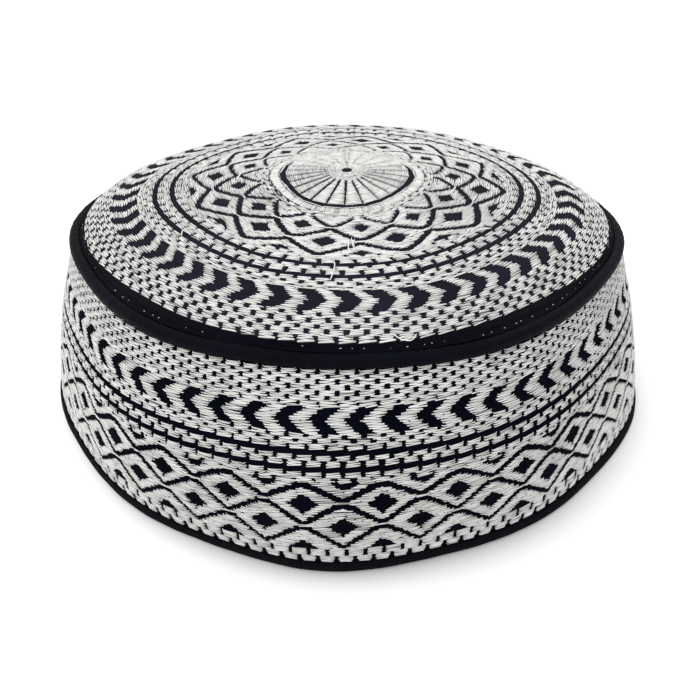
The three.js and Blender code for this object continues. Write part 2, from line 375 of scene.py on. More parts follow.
def strands(name, place, a0, a1, v0, v1, height, width, tone, lead=0.5, unit=1.0, across=1.0):
    """Satin stitches: arched strips from (a0, v0) to (a1, v1) on a surface.

    place(a, v, h) gives points; unit is mm for one step of a; lead is how far
    from its end a strand reaches its full height.
    """
    n = len(a0)
    length = np.abs(a1 - a0) * unit
    lead_s = np.clip(lead / np.maximum(length, 0.05), 0.02, 0.34)
    s = np.stack([np.zeros(n), lead_s, 1 - lead_s, np.ones(n)], 1)
    lift = np.stack([np.full(n, -0.25), height, height, np.full(n, -0.25)], 1)
    wide = np.stack([0.55 * width, width, width, 0.55 * width], 1)
    a = a0[:, None] + (a1 - a0)[:, None] * s
    v = v0[:, None] + (v1 - v0)[:, None] * s
    side = np.array([-0.5, 0.0, 0.5])
    drop = np.array([0.17, 0.0, 0.17])
    A = np.repeat(a[:, :, None], 3, 2)
    V = v[:, :, None] + wide[:, :, None] * side * across
    H = lift[:, :, None] - drop
    P = place(A, V, H).reshape(-1, 3)
    base = np.arange(n)[:, None, None] * 12
    k = np.arange(3)[None, :, None] * 3
    j = np.arange(2)[None, None, :]
    c0 = base + k + j
    q = np.stack([c0, c0 + 3, c0 + 4, c0 + 1], -1).reshape(-1, 4)
    su = (s * length[:, None])[:, :, None] + np.zeros(3) + rng.uniform(0, 50, n)[:, None, None]
    sv = np.zeros((n, 4, 1)) + np.array([0.0, 0.5, 1.0])
    UV = np.stack([su, sv], -1).reshape(-1, 2)
    obj = make_mesh(name, P, q, uv=UV[q.ravel()], tone=np.repeat(tone, 12))
    return obj


def runs(mask, grid):
    """Where each row of a mask is on: row number, first and last place."""
    pad = np.zeros((mask.shape[0], 1), bool)
    d = np.diff(np.concatenate([pad, mask, pad], 1).astype(np.int8), axis=1)
    r0, c0 = np.nonzero(d == 1)
    r1, c1 = np.nonzero(d == -1)
    step = grid[1] - grid[0]
    return r0, grid[0] + (c0 - 0.5) * step, grid[0] + (c1 - 0.5) * step


def split(row, x0, x1, most, unit=1.0):
    """Long stretches become several stitches with staggered joins."""
    length = (x1 - x0) * unit
    n = np.maximum(1, np.ceil(length / (most * rng.uniform(0.8, 1.2, len(row))))).astype(int)
    idx = np.repeat(np.arange(len(row)), n)
    first = np.concatenate([[0], np.cumsum(n)[:-1]])
    j = np.arange(n.sum()) - first[idx]
    nn = n[idx]
    cut = np.zeros(len(idx) + 1)
    jit = rng.uniform(-0.35, 0.35, len(idx))
    f0 = np.where(j == 0, 0.0, (j + jit) / nn)
    nxt = np.roll(jit, -1)
    f1 = np.where(j == nn - 1, 1.0, (j + 1 + nxt) / nn)
    span = (x1 - x0)[idx]
    lap = 0.16 / unit
    first, last = j == 0, j == nn - 1
    return row[idx], x0[idx] + f0 * span - np.where(first, 0, lap), x0[idx] + f1 * span + np.where(last, 0, lap), nn > 1


# ------------------------------------------------------------ the band's chart
def near(u, count, at, slow=0.0):
    """Distance along the band to the nearest of count marks, one at u = at."""
    th = u * 2 * PI / CHART_AROUND
    ph = (th + slow * np.sin(th)) * count / (2 * PI) - at * count * (1 + slow) / CHART_AROUND
    return (ph - np.round(ph)) * CHART_AROUND / count


BRICKS_TOP = dict(count=114, a=0.94, b=3.52)
BRICKS_LOW = dict(count=120)
LATTICE = dict(count=29, at=4.8, slow=0.0075)
CHEVRONS = dict(count=64, at=5.45)

# A row of bricks: bottom and top height, count round the band, where one gap
# stands, and how wide the gap is.
BAND_ROWS = [
    dict(z0=61.45, z1=63.0, count=114, at=3.45, gap=1.15),
    dict(z0=60.28, z1=61.45, count=114, at=0.94, gap=0.92),
    dict(z0=59.10, z1=60.28, count=114, at=3.45, gap=0.92),
    dict(z0=57.92, z1=59.10, count=114, at=0.90, gap=0.92),
    dict(z0=56.72, z1=57.92, count=114, at=3.40, gap=0.92),
    dict(z0=55.50, z1=56.72, count=114, at=0.85, gap=0.92),
    dict(z0=46.72, z1=47.62, count=120, at=0.47, gap=1.0),
    dict(z0=45.42, z1=46.55, count=120, at=2.81, gap=1.2),
    dict(z0=40.90, z1=42.40, count=120, at=2.56, gap=1.0),
    dict(z0=40.25, z1=40.90, count=120, at=0.06, gap=1.35),
    dict(z0=39.40, z1=40.25, count=120, at=0.06, gap=0.95),
    dict(z0=37.10, z1=37.85, count=120, at=0.06, gap=0.85),
    dict(z0=36.50, z1=37.10, count=120, at=0.06, gap=0.55),
    dict(z0=9.35, z1=12.25, count=120, at=0.78, gap=0.80),
    dict(z0=7.30, z1=9.25, count=120, at=3.06, gap=0.90),
    dict(z0=6.00, z1=7.30, count=120, at=3.06, gap=1.35),
]
BAND_LINES = [(42.40, 43.90), (37.85, 39.40)]
# Little hooks: open rings left bare, with the foot joined to what is below.
BAND_HOOKS = [
    dict(z0=54.35, z1=55.35, count=114, at=3.40),
    dict(z0=43.90, z1=45.25, count=120, at=0.40),
]


def band_white(u, z):
    """True where the band is covered in light thread."""
    bare = np.zeros(np.broadcast(u, z).shape, bool)
    for r in BAND_ROWS:
        d = near(u, r["count"], r["at"])
        bare |= (z >= r["z0"]) & (z < r["z1"]) & (np.abs(d) < r["gap"] / 2)
    for lo, hi in BAND_LINES:
        bare |= (z >= lo) & (z < hi)
    for h in BAND_HOOKS:
        d = near(u, h["count"], h["at"])
        f = (z - h["z0"]) / (h["z1"] - h["z0"])
        inside = (f >= 0) & (f < 1)
        top = (f > 0.62) & (np.abs(d) < 0.62)
        stem = (f <= 0.7) & (np.abs(d - 0.38) < 0.27)
        bare |= inside & (top | stem)
    # chevrons, pointing back along the band
    c = near(u, CHEVRONS["count"], CHEVRONS["at"])
    c = np.where(c < -0.6, c + CHART_AROUND / CHEVRONS["count"], c)
    up = (z - 51.0) / 3.1
    dn = (51.0 - z) / 3.35
    outer = np.where(z > 51.0, 3.95 * np.abs(up) ** 1.05, 3.7 * np.abs(dn)) - 0.15
    inner = np.where(z > 51.0, 3.95 + 4.6 * np.abs(up) ** 1.15, 3.95 + 4.1 * np.abs(dn))
    bare |= (z > 47.75) & (z < 54.2) & (c > outer) & (c < inner)
    # lattice
    half = CHART_AROUND / LATTICE["count"] / 2
    d = np.abs(near(u, LATTICE["count"], LATTICE["at"], LATTICE["slow"]))
    e = half - d  # distance to the columns between

    def peak(x, top, low, soften=2.1):
        run = np.sqrt(half**2 + soften**2) - soften
        return top - (top - low) * (np.sqrt(x**2 + soften**2) - soften) / run

    thick = 0.90
    zone = (z > 12.4) & (z < 36.3)
    upper = peak(e, 34.2, 29.5, 2.4)
    mid = peak(d, 28.3, 21.85, 1.9)
    low = peak(e, 20.7, 13.5, 1.8)
    line = (np.abs(z - upper) < thick) | (np.abs(z - mid) < thick) | (np.abs(z - low) < thick)
    cut = ((np.abs(z - 28.9) < 0.2) & (d < 1.5)) | ((np.abs(z - 21.3) < 0.2) & (e < 1.5))
    bare |= zone & line & ~cut
    g = np.abs(e) / 4.05 + np.abs(z - 28.5) / 2.95
    bare |= g < 1
    bare |= (np.abs(e) < 0.28) & (z < 28.5) & (z > 24.9)
    g = np.abs(d) / 3.95 + np.abs(z - 21.15) / 3.0
    bare |= g < 1
    bare |= (np.abs(d) < 0.28) & (z < 21.1) & (z > 17.4)
    cap = 3.7 * np.clip((15.9 - z) / 3.3, 0, 1) ** 0.7
    bare |= (z > 12.25) & (z < 15.9) & (np.abs(e) < cap)
    # the little bowls over the crossings
    s = near(u, LATTICE["count"], LATTICE["at"] + 0.5, LATTICE["slow"])
    bare |= (z > 34.75) & (z < 36.15) & (np.abs(np.abs(s) - 2.4) < 0.55)
    bowl = 3.9 * np.clip((z - 32.9) / 1.95, 0, 1) ** 0.85
    bare |= (z > 32.9) & (z < 34.85) & (np.abs(s) < bowl)
    # seams of the bricks that show as flecks
    f = near(u, 120, 2.5)
    bare |= (z > 35.7) & (z < 36.1) & (np.abs(f) < 0.28)
    return ~bare


def pillow(z, rows):
    out = np.zeros_like(z)
    for r in rows:
        f = (z - r["z0"]) / (r["z1"] - r["z0"])
        ok = (f > 0) & (f < 1)
        out = np.where(ok, np.maximum(out, 4 * f * (1 - f)), out)
    return out


# How far every fourth, and the next, thread reaches past the edge of a shape.
FRINGE = np.array([0.48, 0.06, -0.26, 0.04])


def stitch_noise(n, row):
    slit = rng.random(n) < 0.13
    width = 0.335 * rng.uniform(0.86, 1.1, n) * np.where(slit, 0.5, 1.0)
    height = LOFT * rng.uniform(0.7, 1.25, n) * np.where(slit, 0.7, 1.0)
    tone = np.clip(rng.normal(0.55, 0.24, n), 0, 1)
    return width, height, tone


def embroider_band():
    pitch = 0.318
    z = np.arange(6.2, 62.6, pitch)
    u = np.arange(-CHART_AROUND / 2, CHART_AROUND / 2, 0.05)
    mask = band_white(u[None, :], z[:, None] + 0 * u[None, :])
    row, x0, x1 = runs(mask, u)
    keep = (x1 - x0) > 0.35
    row, x0, x1 = row[keep], x0[keep], x1[keep]
    row, x0, x1, cut = split(row, x0, x1, 6.2)
    n = len(row)
    zz = z[row]
    # ragged ends, more so beside the chevrons
    rough = np.where((zz > 47.6) & (zz < 54.3), 0.19, np.where((zz > 13) & (zz < 36), 0.17, 0.09))
    reach = FRINGE[(row + (x0 * 0.37).astype(int)) % 4] * (rough > 0.15)
    x0 = x0 + rng.normal(0, 1, n) * rough - 0.05 - 0.35 * reach
    x1 = x1 + rng.normal(0, 1, n) * rough + 0.05 + reach
    keep = (x1 - x0) > 0.4
    row, x0, x1, zz = row[keep], x0[keep], x1[keep], zz[keep]
    n = len(row)
    width, height, tone = stitch_noise(n, row)
    height = height * (0.85 + 0.5 * pillow(zz, BAND_ROWS))
    lean = 0.12 * np.where(row % 2 == 0, 1, -1) + rng.normal(0, 0.035, n)
    drift = 0.22 * soft((x0 + x1) / 2, zz, 8, 7.0)
    z0 = zz + lean + rng.normal(0, 0.03, n) - 0.012 * (x1 - x0)
    z1 = zz - lean + rng.normal(0, 0.03, n) + 0.012 * (x1 - x0)
    z0, z1 = np.minimum(z0 + 0.3 * drift, 62.7), np.minimum(z1 + 0.3 * drift, 62.7)
    out = []
    for name, lo, hi in (
        ("embroidery_band_top", 54.3, 99),
        ("embroidery_band_chevrons", 43.2, 54.3),
        ("embroidery_band_bricks", 34.8, 43.2),
        ("embroidery_band_lattice_upper", 21.3, 34.8),
        ("embroidery_band_lattice_lower", 0, 21.3),
    ):
        k = (zz >= lo) & (zz < hi)
        out.append(strands(name, on_band, x0[k], x1[k], z0[k], z1[k], height[k], width[k], tone[k]))
    return out


# ------------------------------------------------------------ the crown's chart
CROWN_ROWS = [
    dict(z0=80.55, z1=81.20, count=98, at=1.85, gap=0.42),
    dict(z0=79.30, z1=80.55, count=98, at=1.60, gap=0.80),
    dict(z0=77.60, z1=79.20, count=98, at=-0.25, gap=0.88),
    dict(z0=76.10, z1=77.45, count=98, at=1.45, gap=0.90),
    dict(z0=74.25, z1=75.95, count=98, at=-0.25, gap=0.90),
    dict(z0=72.75, z1=74.10, count=98, at=1.55, gap=0.85),
    dict(z0=63.65, z1=64.50, count=80, at=-0.50, gap=0.95),
    dict(z0=61.95, z1=63.25, count=80, at=1.75, gap=1.15),
    dict(z0=56.90, z1=58.85, count=72, at=2.25, gap=1.05),
    dict(z0=55.20, z1=56.30, count=72, at=-0.25, gap=0.85),
    dict(z0=51.85, z1=54.00, count=66, at=1.50, gap=1.10),
]
CROWN_RINGS = [(58.65, 60.20), (53.75, 55.35)]


def turn(th, count, at):
    ph = (th - at) * count / 360.0
    return (ph - np.round(ph)) * 360.0 / count


def crown_white(th, r):
    bare = np.zeros(np.broadcast(th, r).shape, bool)
    for q in CROWN_ROWS:
        bare |= (r >= q["z0"]) & (r < q["z1"]) & (np.abs(turn(th, q["count"], q["at"])) < q["gap"] / 2)
    for lo, hi in CROWN_RINGS:
        bare |= (r >= lo) & (r < hi)
    # hooks against the outer ring
    d = turn(th, 80, -0.5)
    bare |= (r >= 60.0) & (r < 61.5) & (np.abs(d - 0.25) < 0.32)
    bare |= (r >= 61.1) & (r < 61.6) & (np.abs(d) < 0.6)
    # chevrons, pointing counter-clockwise
    c = turn(th, 49, 6.4)
    c = np.where(c > 0.3, c - 360 / 49, c)
    up = np.clip((r - 69.0) / 3.7, 0, 2)
    dn = np.clip((69.0 - r) / 3.8, 0, 2)
    lead = np.where(r > 69.0, np.minimum(-2.9 * up, -2.4 - 11.0 * (up - 0.84)), -2.85 * dn) + 0.12
    trail = np.where(r > 69.0, -3.75 - 2.75 * up, -3.75 - 3.3 * dn)
    bare |= (r > 65.15) & (r < 72.80) & (c < lead) & (c > trail)
    # lattice of twelve
    d = np.abs(turn(th, 12, -4.75))  # from the outer apexes
    e = 15 - d

    def peak(x, top, low, soften=0.7):
        run = np.sqrt(15**2 + soften**2) - soften
        return top - (top - low) * (np.sqrt(x**2 + soften**2) - soften) / run

    # the ring round the middle disc: widest at the front, lost at the back
    way = np.abs((th + 180) % 360 - 180)
    bare |= (np.abs(r - 21.45) < np.interp(way, [0, 50, 90, 116, 128], [0.95, 0.80, 0.90, 0.7, 0.0]))

    thick = 0.98
    outer = peak(d, 49.3, 42.95)
    mid = 42.2 + 34.95 - peak(e, 42.2, 34.95)
    mid = peak(e, 41.4, 35.35)
    inner = peak(d, 34.35, 27.6, 0.6)
    line = (np.abs(r - outer) < thick) | (np.abs(r - mid) < thick)
    line |= (np.abs(r - inner) < thick * 0.9) & (e > 2.2)
    cut = ((np.abs(r - 42.15) < 0.24) & (e < 2.2)) | ((np.abs(r - 34.85) < 0.22) & (d < 2.4))
    bare |= line & ~cut & (r > 27) & (r < 50.5)
    bare |= (np.abs(d) / 5.6 + np.abs(r - 42.1) / 2.95) < 1
    bare |= (np.abs(e) / 5.2 + np.abs(r - 34.5) / 2.6) < 1
    # short bowls outside the crossings, under three dots
    s = np.abs(turn(th, 12, 10.4))
    bare |= (r > 49.3) & (r < 50.6) & ((s < 0.6) | (np.abs(s - 5.4) < 0.6))
    bowl = 5.3 * np.clip((r - 46.9) / 2.5, 0, 1) ** 0.75
    bare |= (r > 46.9) & (r < 49.3) & (s < bowl)
    # small dots inside the lattice
    bare |= (r > 27.2) & (r < 28.0) & (np.abs(turn(th, 36, 3.0)) < 1.25)
    bare |= (r > 25.6) & (r < 26.2) & (np.abs(turn(th, 36, 8.0)) < 1.1)
    # spokes of the middle disc and its centre
    w = np.interp(r, [6, 10, 20.9], [0.24, 0.22, 0.15]) * np.interp(way, [0, 45, 80, 130, 180], [1.0, 1.0, 0.75, 0.6, 0.5])
    bare |= (r > 6.5) & (r < 20.9) & (np.abs(turn(th, 24, 3.0)) * PI / 180 * r < w)
    bare |= r < 1.9
    bare |= (r > 22.9) & (r < 25.5)  # worked the other way, below
    return ~bare


def embroider_crown():
    pitch = 0.318
    r = np.arange(1.95, 81.05, pitch)
    th = np.arange(-180, 180, 0.04)
    mask = crown_white(th[None, :], r[:, None] + 0 * th[None, :])
    row, x0, x1 = runs(mask, th)
    rr = r[row]
    deg = 180 / PI / rr  # degrees for a millimetre
    keep = (x1 - x0) > 0.35 * deg
    row, x0, x1, rr, deg = row[keep], x0[keep], x1[keep], rr[keep], deg[keep]
    # split in millimetres
    row, m0, m1, cut = split(row, x0 / deg, x1 / deg, np.where(rr < 4, 1.1, np.where(rr < 8, 2.0, 6.0)))
    rr = r[row]
    deg = 180 / PI / rr
    n = len(row)
    rough = np.where((rr > 65) & (rr < 73), 0.20, np.where((rr > 26) & (rr < 50.5), 0.18, 0.10))
    reach = FRINGE[(row + (m0 * 0.37).astype(int)) % 4] * (rough > 0.15)
    m0 = m0 + rng.normal(0, 1, n) * rough - 0.05 - 0.35 * reach
    m1 = m1 + rng.normal(0, 1, n) * rough + 0.05 + reach
    keep = (m1 - m0) > 0.4
    row, m0, m1, rr, deg = row[keep], m0[keep], m1[keep], rr[keep], deg[keep]
    n = len(row)
    width, height, tone = stitch_noise(n, row)
    height = height * (0.85 + 0.45 * pillow(rr, CROWN_ROWS))
    lean = 0.12 * np.where(row % 2 == 0, 1, -1) + rng.normal(0, 0.035, n)
    z0 = rr + lean + rng.normal(0, 0.03, n)
    z1 = rr - lean + rng.normal(0, 0.03, n)
    out = []
    for name, lo, hi in (
        ("embroidery_crown_rim", 64.8, 99),
        ("embroidery_crown_rings", 50.8, 64.8),
        ("embroidery_crown_lattice", 26, 50.8),
        ("embroidery_crown_centre", 0, 26),
    ):
        k = (rr >= lo) & (rr < hi)

        def place(a, v, h):
            return on_crown(a * 180 / PI / np.maximum(v, 0.3), v, h)

        out.append(strands(name, place, m0[k], m1[k], z0[k], z1[k], height[k], width[k], tone[k]))
    # the narrow collar of stitches that run outwards
    count = 520
    a = np.arange(count) * 360 / count + rng.normal(0, 0.08, count)
    n = count
    width, height, tone = stitch_noise(n, a)
    lo = 22.6 + rng.normal(0, 0.12, n)
    hi = 25.6 + rng.normal(0, 0.2, n)

    def collar(s, v, h):
        return on_crown(v * 180 / PI / 24.2, s, h)

    out.append(strands("embroidery_crown_collar", collar, hi, lo, a * PI / 180 * 24.2, a * PI / 180 * 24.2, height, width, tone))
    return out


# ------------------------------------------------------------ materials
def new_material(name):
    m = bpy.data.materials.new(name)
    m.use_nodes = True
    m.node_tree.nodes.clear()
    nt = m.node_tree
    out = nt.nodes.new("ShaderNodeOutputMaterial")
    b = nt.nodes.new("ShaderNodeBsdfPrincipled")
    nt.links.new(b.outputs["BSDF"], out.inputs["Surface"])
    return m, nt, b


def node(nt, kind, **inputs):
    n = nt.nodes.new(kind)
    for k, v in inputs.items():
        n.inputs[k].default_value = v
    return n


def ramp(nt, fac, stops):
    r = nt.nodes.new("ShaderNodeValToRGB")
    el = r.color_ramp.elements
    el[0].position, el[0].color = stops[0][0], (*stops[0][1], 1)
    el[1].position, el[1].color = stops[-1][0], (*stops[-1][1], 1)
    for p, c in stops[1:-1]:
        e = el.new(p)
        e.color = (*c, 1)
    nt.links.new(fac, r.inputs["Fac"])
    return r.outputs["Color"]


def thread_material():
    m, nt, b = new_material("light_thread")
    at = nt.nodes.new("ShaderNodeAttribute")
    at.attribute_name = "tone"
    tc = nt.nodes.new("ShaderNodeTexCoord")
    big = node(nt, "ShaderNodeTexNoise", Scale=26.0, Detail=3.0)
    nt.links.new(tc.outputs["Object"], big.inputs["Vector"])
    mix = node(nt, "ShaderNodeMath")
    mix.operation = "MULTIPLY_ADD"
    mix.inputs[1].default_value = 0.35
    nt.links.new(big.outputs["Fac"], mix.inputs[0])
    nt.links.new(at.outputs["Fac"], mix.inputs[2])
    col = ramp(nt, mix.outputs[0], [(0.0, (0.30, 0.30, 0.295)), (0.5, (0.56, 0.555, 0.54)), (0.95, (0.74, 0.735, 0.72))])
    # the twist of the two plies
    uv = nt.nodes.new("ShaderNodeUVMap")
    uv.uv_map = "UVMap"
    # painted shade: the thread's colour is darkened down its two sides, standing in for the shade in the gaps between
    # neighbouring threads
    sep = nt.nodes.new("ShaderNodeSeparateXYZ")
    nt.links.new(uv.outputs["UV"], sep.inputs["Vector"])
    side = ramp(nt, sep.outputs["Y"], [(0.0, (0.30, 0.30, 0.31)), (0.30, (1, 1, 1)), (0.70, (1, 1, 1)), (1.0, (0.30, 0.30, 0.31))])
    with_painted_gap_shade = nt.nodes.new("ShaderNodeVectorMath")
    with_painted_gap_shade.operation = "MULTIPLY"
    nt.links.new(col, with_painted_gap_shade.inputs[0])
    nt.links.new(side, with_painted_gap_shade.inputs[1])
    nt.links.new(with_painted_gap_shade.outputs[0], b.inputs["Base Color"])
    b.inputs["Roughness"].default_value = 0.5
    b.inputs["Specular IOR Level"].default_value = 0.3
    b.inputs["Sheen Weight"].default_value = 0.08
    b.inputs["Sheen Roughness"].default_value = 0.5
    mp = node(nt, "ShaderNodeMapping")
    mp.inputs["Scale"].default_value = (1.0, 0.6, 1.0)
    mp.inputs["Rotation"].default_value = (0, 0, 0.6)
    nt.links.new(uv.outputs["UV"], mp.inputs["Vector"])
    w = node(nt, "ShaderNodeTexWave", Scale=1.3, Distortion=1.0, Detail=1.0)
    nt.links.new(mp.outputs["Vector"], w.inputs["Vector"])
    bump = node(nt, "ShaderNodeBump", Strength=0.35, Distance=0.00006)
    nt.links.new(w.outputs["Fac"], bump.inputs["Height"])
    nt.links.new(bump.outputs["Normal"], b.inputs["Normal"])
    return m


def cloth_material(name, dark, light, rib=None, period=0.42, rough=0.8, sheen=0.25, strength=0.5, spec=0.3):
    """Woven cloth or ribbed tape: uv in millimetres, u round the cap."""
    m, nt, b = new_material(name)
    uv = nt.nodes.new("ShaderNodeUVMap")
    uv.uv_map = "UVMap"
    sep = nt.nodes.new("ShaderNodeSeparateXYZ")
    nt.links.new(uv.outputs["UV"], sep.inputs["Vector"])

    def wave(src, per, phase=0.0):
        k = node(nt, "ShaderNodeMath")
        k.operation = "MULTIPLY_ADD"
        k.inputs[1].default_value = 2 * PI / per
        k.inputs[2].default_value = phase
        nt.links.new(src, k.inputs[0])
        s = nt.nodes.new("ShaderNodeMath")
        s.operation = "SINE"
        nt.links.new(k.outputs[0], s.inputs[0])
        return s.outputs[0]

    wu = wave(sep.outputs["X"], period)
    if rib:
        wv = wave(sep.outputs["Y"], period * 0.9)
        h = nt.nodes.new("ShaderNodeMath")
        h.operation = "MULTIPLY_ADD"
        h.inputs[1].default_value = 0.25
        nt.links.new(wv, h.inputs[0])
        nt.links.new(wu, h.inputs[2])
    else:
        wv = wave(sep.outputs["Y"], period)
        h = nt.nodes.new("ShaderNodeMath")
        h.operation = "MULTIPLY"
        nt.links.new(wu, h.inputs[0])
        nt.links.new(wv, h.inputs[1])
    tc = nt.nodes.new("ShaderNodeTexCoord")
    fine = node(nt, "ShaderNodeTexNoise", Scale=1400.0, Detail=2.0)
    nt.links.new(tc.outputs["Object"], fine.inputs["Vector"])
    broad = node(nt, "ShaderNodeTexNoise", Scale=45.0, Detail=4.0)
    nt.links.new(tc.outputs["Object"], broad.inputs["Vector"])
    hh = nt.nodes.new("ShaderNodeMath")
    hh.operation = "MULTIPLY_ADD"
    hh.inputs[1].default_value = 1.6
    nt.links.new(fine.outputs["Fac"], hh.inputs[0])
    nt.links.new(h.outputs[0], hh.inputs[2])
    bump = node(nt, "ShaderNodeBump", Strength=strength, Distance=0.00009)
    nt.links.new(hh.outputs[0], bump.inputs["Height"])
    nt.links.new(bump.outputs["Normal"], b.inputs["Normal"])
    f = nt.nodes.new("ShaderNodeMath")
    f.operation = "MULTIPLY_ADD"
    f.inputs[1].default_value = 0.22
    nt.links.new(h.outputs[0], f.inputs[0])
    nt.links.new(broad.outputs["Fac"], f.inputs[2])
    nt.links.new(ramp(nt, f.outputs[0], [(0.2, dark), (0.85, light)]), b.inputs["Base Color"])
    b.inputs["Roughness"].default_value = rough
    b.inputs["Specular IOR Level"].default_value = spec
    b.inputs["Sheen Weight"].default_value = sheen
    b.inputs["Sheen Roughness"].default_value = 0.4
    return m


thread = thread_material()
# the band's cotton is given a far darker colour than the crown's: its own black plus painted shade among the band's
# threads
band_cloth_and_shade_mat = cloth_material("band_cotton_and_painted_shade", (0.0010, 0.0012, 0.0032), (0.0030, 0.0036, 0.0075), sheen=0.0, spec=0.01)
crown_cloth_mat = cloth_material("crown_cotton", (0.0058, 0.0062, 0.0105), (0.0125, 0.0135, 0.0215), sheen=0.01, spec=0.03)
tape_mat = cloth_material("black_tape", (0.0009, 0.0011, 0.0028), (0.0034, 0.0039, 0.0080), rib=True, period=0.45, rough=0.6, sheen=0.0, strength=0.9, spec=0.04)
hem_mat = cloth_material("black_hem", (0.0008, 0.0009, 0.0022), (0.0026, 0.0029, 0.0060), rib=True, period=0.45, rough=0.75, sheen=0.0, strength=0.8, spec=0.02)
roll_mat = cloth_material("black_roll", (0.0006, 0.0008, 0.0022), (0.0024, 0.0030, 0.0068), rib=True, period=0.75, rough=0.55, sheen=0.0, strength=1.0, spec=0.045)


def give(obj, mat):
    obj.data.materials.clear()
    obj.data.materials.append(mat)


# ------------------------------------------------------------ cloth pieces
N_ROUND = 480
T_ROUND = np.linspace(0, 2 * PI, N_ROUND + 1) - PI / 2
ARC_MM = T_ROUND * 90.0


def polar(t, r, z):
    return np.stack([r * np.cos(t), r * np.sin(t), z + 0 * r], -1)


def smooth_loop(points, per=6, closed=True):
    """Rounds a section's corners: a closed Chaikin run over its points."""
    p = np.array(points, float)
    for _ in range(per):
        a, b = p, np.roll(p, -1, axis=0)
        p = np.stack([0.75 * a + 0.25 * b, 0.25 * a + 0.75 * b], 1).reshape(-1, p.shape[1])
    return p


def section_mm(pts):
    d = np.hypot(*np.diff(np.concatenate([pts, pts[:1]]), axis=0).T)
    return np.concatenate([[0], np.cumsum(d)])


def band_cloth():
    t = T_ROUND[:-1]
    zs_out = np.linspace(BAND_FOOT, BAND_TOP - 0.5, 46)
    zs_in = np.linspace(BAND_TOP - LIP_CLOTH - 0.5, BAND_FOOT, 30)
    cols = []
    for z in zs_out:
        u = (t + PI / 2) / (2 * PI) * AROUND
        cols.append(polar(t, wall(t, z) - 0.12 + 0.12 * soft(u, z, 3, 9.0) * 0, z))
    cols.append(polar(t, wall(t, BAND_TOP) - 0.5, BAND_TOP))
    for k in np.linspace(0.15, 1, 6):
        cols.append(polar(t, wall(t, BAND_TOP) - LIP * k, BAND_TOP + LIP_RISE * k))
    for k in np.linspace(1, 0.3, 5):
        cols.append(polar(t, wall(t, BAND_TOP) - LIP * k, BAND_TOP + LIP_RISE * k - LIP_CLOTH))
    for z in zs_in:
        cols.append(polar(t, wall(t, z) - BAND_CLOTH, z))
    loops = np.stack(cols, 1)
    v = np.concatenate([[0], np.cumsum(np.linalg.norm(np.diff(loops[0], axis=0), axis=1)), [0]])
    v[-1] = v[-2] + 2
    obj = ring_mesh("band_cloth", loops, ARC_MM, v, flip=True)
    give(obj, band_cloth_and_shade_mat)
    return obj


def crown_cloth():
    shares = np.concatenate([[0.012, 0.03], np.linspace(0.06, 1.0, 62)])
    t = T_ROUND[:-1]
    edge = outline(CROWN, t)
    rows = []
    for s in shares:
        rows.append(polar(t, s * edge, crown_z(t, s * edge) - 0.10))
    for k in (0.35, 0.7, 1.0):
        r = edge + (seam_radius(t) - edge) * k
        rows.append(polar(t, r, crown_z(t, r) - 0.10))
    under = []
    for k in (1.0, 0.5):
        r = edge + (seam_radius(t) - edge) * k
        under.append(polar(t, r, crown_z(t, r) - CROWN_CLOTH))
    for s in np.linspace(1.0, 0.03, 30):
        under.append(polar(t, s * edge, crown_z(t, s * edge) - CROWN_CLOTH))
    rows = np.stack(rows + under, 0)  # (rows, round, 3)
    m, n, _ = rows.shape
    v = np.concatenate([[[0, 0, CROWN_TOP - 0.10], [0, 0, CROWN_TOP - CROWN_CLOTH]], rows.reshape(-1, 3)])
    i, j = np.meshgrid(np.arange(m - 1), np.arange(n), indexing="ij")
    a = 2 + i * n + j
    b = 2 + (i + 1) * n + j
    c = 2 + (i + 1) * n + (j + 1) % n
    d = 2 + i * n + (j + 1) % n
    q = np.stack([a, b, c, d], -1).reshape(-1, 4)
    jj = np.arange(n)
    tri = np.concatenate([
        np.stack([0 * jj, 2 + jj, 2 + (jj + 1) % n], -1),
        np.stack([0 * jj + 1, 2 + (m - 1) * n + (jj + 1) % n, 2 + (m - 1) * n + jj], -1),
    ])
    corners = np.concatenate([q.ravel(), tri.ravel()])
    uv = v[corners, :2]
    obj = make_mesh("crown_cloth", v, q, tri, uv=uv)
    give(obj, crown_cloth_mat)
    return obj


def piping():
    t = T_ROUND[:-1]
    sides = 20
    r0 = wall(t, BAND_TOP) - PIPE_IN
    zc = BAND_TOP + GAP + PIPE_R
    fat = 1.96 + 0.04 * round_soft(t, 1, 5, 60) + 0.05 * round_soft(t, 21, 90, 220, 12) - 0.40 * rearward(t)
    wob = 0.10 * round_soft(t, 2, 4, 24) - 0.30 * rearward(t)
    cols = []
    for k in range(sides):
        a = 2 * PI * k / sides
        cols.append(polar(t, r0 + fat * math.cos(a), zc + wob + fat * math.sin(a) * 0.98))
    loops = np.stack(cols, 1)
    obj = ring_mesh("piping_roll", loops, ARC_MM, np.arange(sides + 1) * 2 * PI * PIPE_R / sides, flip=True)
    give(obj, roll_mat)
    return obj


